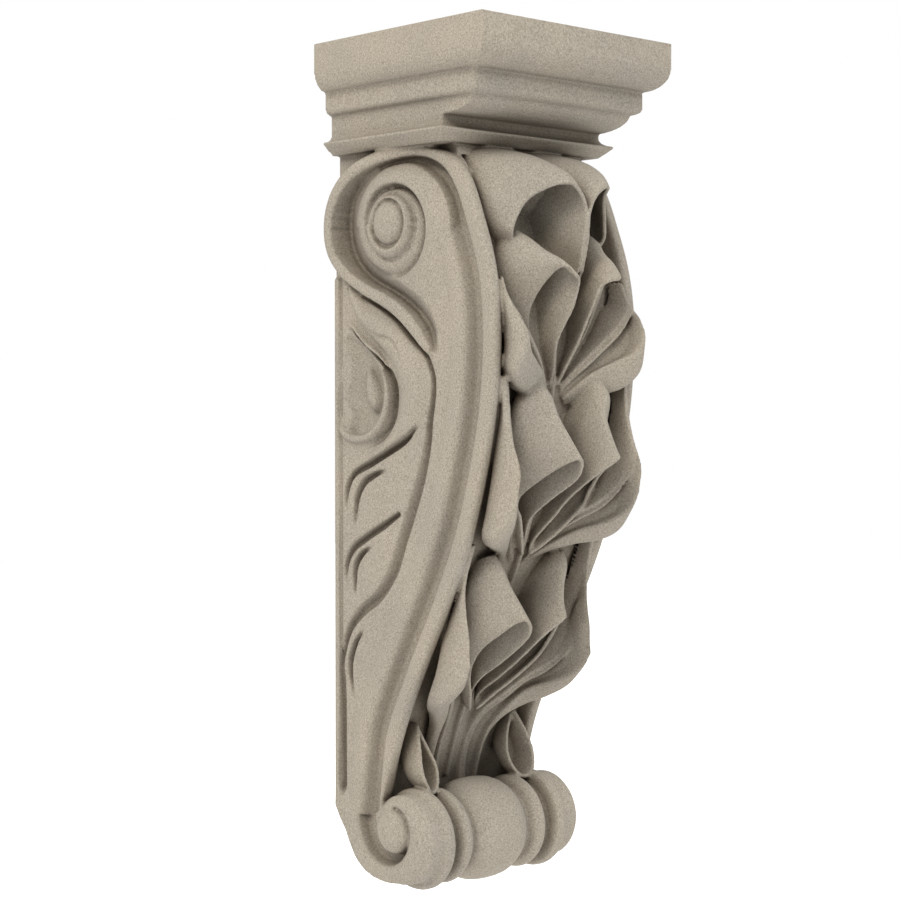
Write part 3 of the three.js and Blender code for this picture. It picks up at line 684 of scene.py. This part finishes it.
def cowl(levels, count=44, between=8, hollow=0.62):
    """A lobe of leaf: rings from its root to its mouth, then back inside as a thin-walled cup."""
    loops = np.array([curve(level, count, closed=True) for level in levels])
    tracks = [curve(loops[:, k], between * (len(levels) - 1) + 1) for k in range(count)]
    outside = np.stack(tracks, axis=1)
    around = np.roll(outside, -1, axis=1) - np.roll(outside, 1, axis=1)
    inward = np.cross(around, np.gradient(outside, axis=0))
    inward /= np.maximum(np.linalg.norm(inward, axis=2), 1e-6)[:, :, None]
    if (inward * (outside - outside.mean(1)[:, None])).sum() > 0:
        inward = -inward
    levels_made = len(outside)
    depth_reached = int(levels_made * hollow)
    inner = []
    for back in range(depth_reached):
        number = levels_made - 1 - back
        ring = outside[number]
        reach = np.linalg.norm(ring.mean(0) - ring, axis=1)[:, None]
        thick = leaf_thickness * (1 + 1.2 * back / depth_reached)
        inner.append(ring + inward[number] * np.minimum(thick, reach * 0.7))
    return [place(ring) for ring in list(outside) + inner]


both_sides("hood", *loft(cowl(hood_levels)))
for number, levels in enumerate(tier_levels):
    both_sides(f"lobe_{number}", *loft(cowl(levels)))
both_sides("curl", *loft(cowl(curl_levels)))


def edge_depth(drop):
    """How far out the frame's front edge stands at a given drop."""
    falling = edge_line[:, 1] > 86
    return float(np.interp(drop, edge_line[falling, 1], edge_line[falling, 0]))


# Each station across a drop and its ribbon, from the top strip down round the drop and in along the
# ribbon to the stem: the foot of its outer wall, the swell of that wall, the outer rim, the upper
# lip, and the foot of its inner wall.
ribbon_stations = [
    [
        [(59.5, 152, 174), (60.5, 156, 174), (60, 158, 172), (58.5, 158, 170), (55, 146, 170)],
        [(59.5, 156, 190), (61.8, 163, 190), (60, 166, 187), (58.5, 162, 181), (54, 148, 180)],
        [(59.5, 158, 203), (61.8, 170, 204), (60, 176, 198), (57, 165, 188), (51, 148, 187)],
        [(59.5, 160, 217), (61.8, 175, 219), (58, 182, 210), (51, 166, 195), (45, 147, 193)],
        [(59.5, 158, 232), (61.8, 173, 234), (52, 179, 222), (43, 165, 204), (38, 145, 202)],
        [(52, 155, 243), (51, 168, 245), (40, 172, 229), (33, 162, 213), (29, 143, 211)],
        [(34, 148, 250), (33, 159, 251), (24, 163, 238), (21, 157, 225), (18, 140, 223)],
        [(12, 138, 258), (12, 145, 258), (8, 150, 254), (6, 148, 243), (5, 134, 243)],
    ],
    [
        [(59.5, 155, 238), (61.8, 159, 238), (60, 162, 238), (57, 162, 236), (55, 150, 236)],
        [(59.5, 156, 262), (61.8, 162, 262), (60, 164, 262), (57, 164, 262), (54, 150, 262)],
        [(59.5, 151, 285), (61.8, 163, 284), (60, 169, 281), (57, 166, 278), (52, 148, 278)],
        [(59.5, 147, 308), (61.8, 165, 308), (60, 177, 302), (56.5, 167, 294), (50, 145, 292)],
        [(59.5, 142, 330), (61.8, 158, 332), (60, 175, 319), (54.5, 163, 306), (47, 140, 302)],
        [(59.5, 138, 345), (61.8, 152, 347), (56, 169, 333), (50, 157, 316), (42, 136, 312)],
        [(52, 132, 352), (52, 144, 354), (47, 157, 342), (42, 151, 325), (34, 131, 322)],
        [(38, 122, 356), (37, 132, 357), (34, 140, 349), (29, 141, 334), (24, 124, 331)],
        [(22, 110, 364), (22, 116, 364), (20, 122, 360), (16, 127, 348), (13, 114, 345)],
        [(9, 95, 376), (9, 99, 376), (8, 103, 374), (5, 115, 368), (3, 100, 366)],
    ],
    [
        [(59.5, 126, 353), (61.8, 129, 353), (60, 131, 353), (57, 131, 352), (55, 119, 352)],
        [(59.5, 118, 375), (61.8, 123, 375), (60, 125, 375), (59.5, 124, 375), (54, 110, 374)],
        [(59.5, 110, 396), (61.8, 120, 396), (60, 125, 395), (59.5, 117, 392), (52, 102, 390)],
        [(59.5, 99, 420), (61.8, 117, 421), (60, 129.5, 418), (59.5, 110, 410), (50, 95, 408)],
        [(59.5, 92, 444), (61.8, 111, 446), (60, 129, 437), (56.5, 107, 424), (47, 90, 420)],
        [(59.5, 84, 462), (61.8, 102, 463), (57, 120, 451), (53, 104, 436), (42, 84, 430)],
        [(54, 76, 470), (54, 90, 472), (49, 103, 461), (45, 97, 445.5), (35, 78, 442)],
        [(43, 66, 478), (43, 76, 479), (39, 85, 468), (36, 87, 454), (28, 68, 452)],
        [(34, 56, 488), (33, 63, 489), (31, 72, 481), (25, 75, 467), (19, 58, 465)],
        [(30, 46, 503), (29, 51, 503), (26, 57, 499), (15, 61, 481), (11, 46, 480)],
        [(29, 40, 517), (28, 45, 517), (25, 50, 515), (11, 48, 501), (8, 38, 500)],
        [(28, 36, 530), (28, 41, 530), (25, 46, 528), (10, 42, 520), (7, 34, 520)],
        [(28, 34, 546), (28, 39, 546), (25, 44, 545), (10, 41, 540), (7, 32, 540)],
    ],
]
lip_steps = np.array([0, 0.5, 1.4, 2.2, 2.8, 3.3, 3.8, 4.4, 5.3, 6.2, 6.8, 7.4, 8.0])
lip_depths = np.array([1.2, 0.4, 0, 0.4, 2.0, 3.2, 2.0, 0.4, 0, 0.4, 1.2])
rim_steps = np.array([4.4, 3.6, 3.0, 2.2, 1.2, 0.4, 0])


def ribbon(stations, count):
    """A drop and its ribbon, with a doubled lip above and a cup between it and the outer rim."""
    tracks = [curve([station[k] for station in stations], count) for k in range(5)]
    rings = []
    for number in range(count):
        foot, swell, rim_point, lip, root = (track[number] for track in tracks)
        width = np.linalg.norm(rim_point - lip)
        full_width = 15
        cup_least = 4.0
        cup_swell = 6.5
        unit = min(1.0, width / full_width)
        outward = (rim_point + lip) / 2 - (foot + root) / 2
        outward /= np.linalg.norm(outward)
        share = number / (count - 1)
        cup = cup_least + cup_swell * math.exp(-((share - 0.4) / 0.3) ** 2)
        cup *= np.clip((width - 7) / 8, 0, 1)
        hollow = np.linspace(lip_steps[-1] * unit, width - rim_steps[0] * unit, 8)
        steps = np.concatenate([lip_steps[:-1] * unit, hollow, width - rim_steps[1:] * unit])
        depths = np.concatenate([lip_depths * unit, [cup * 0.7], np.full(8, cup),
                                 [cup * 0.6, cup * 0.15, 0.1, 0, 0.2, 0.9 * unit]])
        face = lip + (steps / width)[:, None] * (rim_point - lip) - outward * depths[:, None]
        wall = curve([rim_point, swell, foot], 12)[1:]
        floor = foot + np.linspace(0, 1, 6)[1:, None] * (root - foot)
        inner = root + np.linspace(0, 1, 5)[1:-1, None] * (lip - root)
        rings.append(place(np.concatenate([face, wall, floor, inner])))
    return rings


for number, stations in enumerate(ribbon_stations):
    both_sides(f"ribbon_{number}", *loft(ribbon(stations, 12 * len(stations))))


def strand(points, outward, count, sides=14):
    """A rib of oval section; each point is (across, depth, drop, half width, half height)."""
    line = curve(points, count)
    middles = line[:, :3] * (1, -1, -1)
    along = np.gradient(middles, axis=0)
    along /= np.linalg.norm(along, axis=1)[:, None]
    wide = np.cross(along, outward)
    wide /= np.linalg.norm(wide, axis=1)[:, None]
    tall = np.cross(wide, along)
    turns = np.linspace(0, 2 * math.pi, sides, endpoint=False)
    rings = []
    for middle, w, t, sizes in zip(middles, wide, tall, line[:, 3:]):
        ring = middle + np.outer(np.cos(turns) * sizes[0], w) + np.outer(np.sin(turns) * sizes[1], t)
        rings.append(place(ring * (1, -1, -1)))
    return rings


stem_drops = [165, 215, 265, 315, 365, 415, 465, 500, 530]
stem_sunk = 4
stem_points = [(0, edge_depth(drop) - panel_recess - stem_sunk, drop, 3, 7) for drop in stem_drops]
stone_parts.append(solid("stem", *loft(strand(stem_points, (0, -1, 0), 60))))


# The parts above are one stone, so they are made into a single skin. Every junction gets the
# slightly worn softness of a chisel-finished sandstone, and the back is cut flat to the wall.
bpy.ops.object.select_all(action="DESELECT")
for part in stone_parts:
    part.select_set(True)
bpy.context.view_layer.objects.active = cap
bpy.ops.object.join()
corbel = bpy.context.object
corbel.name = "corbel_stone"
corbel.data.name = "corbel_stone"
skin_voxel = 0.00095
triangle_limit = 190000
finish_modifier(corbel, "REMESH", mode="VOXEL", voxel_size=skin_voxel, adaptivity=0)
finish_modifier(corbel, "SMOOTH", factor=0.5, iterations=1)
triangle_share = min(1.0, triangle_limit / (2 * len(corbel.data.polygons)))
finish_modifier(corbel, "DECIMATE", ratio=triangle_share)
for vertex in corbel.data.vertices:
    vertex.co.y = min(vertex.co.y, 0)
select_only(corbel)
bpy.ops.object.shade_smooth()


# The stone is a fine buff sandstone: pale grains among darker ones, a faint warm and grey drift
# over the block, painted shade darkening the creases and hollows towards a warm dirt brown, and a gritty
# dull surface.
def sandstone():
    material = bpy.data.materials.new("buff_sandstone")
    material.use_nodes = True
    nodes = material.node_tree.nodes
    links = material.node_tree.links
    shader = nodes["Principled BSDF"]
    shader.inputs["Roughness"].default_value = 0.93
    shader.inputs["Specular IOR Level"].default_value = 0.25
    coordinates = nodes.new("ShaderNodeTexCoord").outputs["Object"]

    def noise(scale, detail, roughness):
        node = nodes.new("ShaderNodeTexNoise")
        node.inputs["Scale"].default_value = scale
        node.inputs["Detail"].default_value = detail
        node.inputs["Roughness"].default_value = roughness
        links.new(coordinates, node.inputs["Vector"])
        return node.outputs["Fac"]

    def ramp(factor, stops):
        node = nodes.new("ShaderNodeValToRGB")
        links.new(factor, node.inputs["Fac"])
        while len(node.color_ramp.elements) < len(stops):
            node.color_ramp.elements.new(0.5)
        for element, (position, colour) in zip(node.color_ramp.elements, stops):
            element.position = position
            element.color = (*colour, 1)
        return node.outputs["Color"]

    def mix(kind, factor, first, second):
        node = nodes.new("ShaderNodeMix")
        node.data_type = "RGBA"
        node.blend_type = kind
        if isinstance(factor, float):
            node.inputs["Factor"].default_value = factor
        else:
            links.new(factor, node.inputs["Factor"])
        links.new(first, node.inputs[6])
        links.new(second, node.inputs[7])
        return node.outputs[2]

    grains = ramp(noise(900, 3, 0.7), [(0.30, (0.135, 0.116, 0.092)), (0.46, (0.228, 0.202, 0.166)),
                                       (0.60, (0.272, 0.246, 0.206)), (0.75, (0.358, 0.336, 0.298))])
    drift = ramp(noise(14, 4, 0.55), [(0.3, (0.86, 0.87, 0.88)), (0.7, (1.0, 0.985, 0.95))])
    tinted = mix("MULTIPLY", 1.0, grains, drift)
    # Painted shade: two ambient occlusion masks darken creases and hollows towards a warm dirt brown, a
    # short reach for narrow creases and a longer one for deep hollows; white leaves the open stone
    # unshaded.
    unshaded_clean = (1.0, 1.0, 1.0)
    for reach, stops in [(0.006, [(0.28, (0.28, 0.23, 0.18)), (0.90, unshaded_clean)]),
                         (0.030, [(0.10, (0.36, 0.31, 0.255)), (0.86, unshaded_clean)])]:
        hollow = nodes.new("ShaderNodeAmbientOcclusion")
        hollow.samples = 6
        hollow.inputs["Distance"].default_value = reach
        shade_and_dirt = ramp(hollow.outputs["AO"], stops)
        tinted = mix("MULTIPLY", 1.0, tinted, shade_and_dirt)
    links.new(tinted, shader.inputs["Base Color"])
    bump = nodes.new("ShaderNodeBump")
    bump.inputs["Strength"].default_value = 0.35
    bump.inputs["Distance"].default_value = 0.0006
    links.new(noise(700, 4, 0.75), bump.inputs["Height"])
    links.new(bump.outputs["Normal"], shader.inputs["Normal"])
    return material


corbel.data.materials.clear()
corbel.data.materials.append(sandstone())
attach(corbel, "root")
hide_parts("corbel")


# The studio is a plain pale floor with a large soft light on the side that the camera sees best,
# a weaker one from the front, and a pale surround that is brighter overhead.
bpy.ops.object.select_all(action="DESELECT")
bpy.ops.mesh.primitive_plane_add(size=14, location=(0, 0, -0.75))
floor = bpy.context.object
floor.name = "studio_floor"
bpy.ops.object.transform_apply(location=True, rotation=False, scale=False)
pale = bpy.data.materials.new("studio_pale")
pale.use_nodes = True
pale_shader = pale.node_tree.nodes["Principled BSDF"]
pale_shader.inputs["Base Color"].default_value = (0.9, 0.9, 0.9, 1)
pale_shader.inputs["Roughness"].default_value = 0.9
floor.data.materials.append(pale)


def soft_light(name, location, size, power, colour):
    bpy.ops.object.light_add(type="AREA", location=location)
    light = bpy.context.object
    light.name = name
    light.data.size = size
    light.data.energy = power
    light.data.color = colour
    light.rotation_euler = (-Vector(location)).to_track_quat("-Z", "Y").to_euler()


soft_light("key_light", (-2.4, -1.1, 2.0), 1.2, 75, (1.0, 0.95, 0.87))
soft_light("front_light", (0.9, -2.3, 1.0), 1.8, 14, (0.9, 0.96, 1.0))
world = bpy.data.worlds.new("studio")
world.use_nodes = True
world_nodes = world.node_tree.nodes
height = world_nodes.new("ShaderNodeSeparateXYZ")
world.node_tree.links.new(world_nodes.new("ShaderNodeTexCoord").outputs["Generated"],
                          height.inputs["Vector"])
overhead = world_nodes.new("ShaderNodeMapRange")
overhead.inputs["From Min"].default_value = 0.25
overhead.inputs["From Max"].default_value = 1.0
overhead.inputs["To Min"].default_value = 1.0
overhead.inputs["To Max"].default_value = 2.2
world.node_tree.links.new(height.outputs["Z"], overhead.inputs["Value"])
world.node_tree.links.new(overhead.outputs["Result"], world_nodes["Background"].inputs["Strength"])
world_nodes["Background"].inputs["Color"].default_value = (1, 1, 1, 1)
bpy.context.scene.world = world
bpy.context.scene.view_settings.view_transform = "Standard"
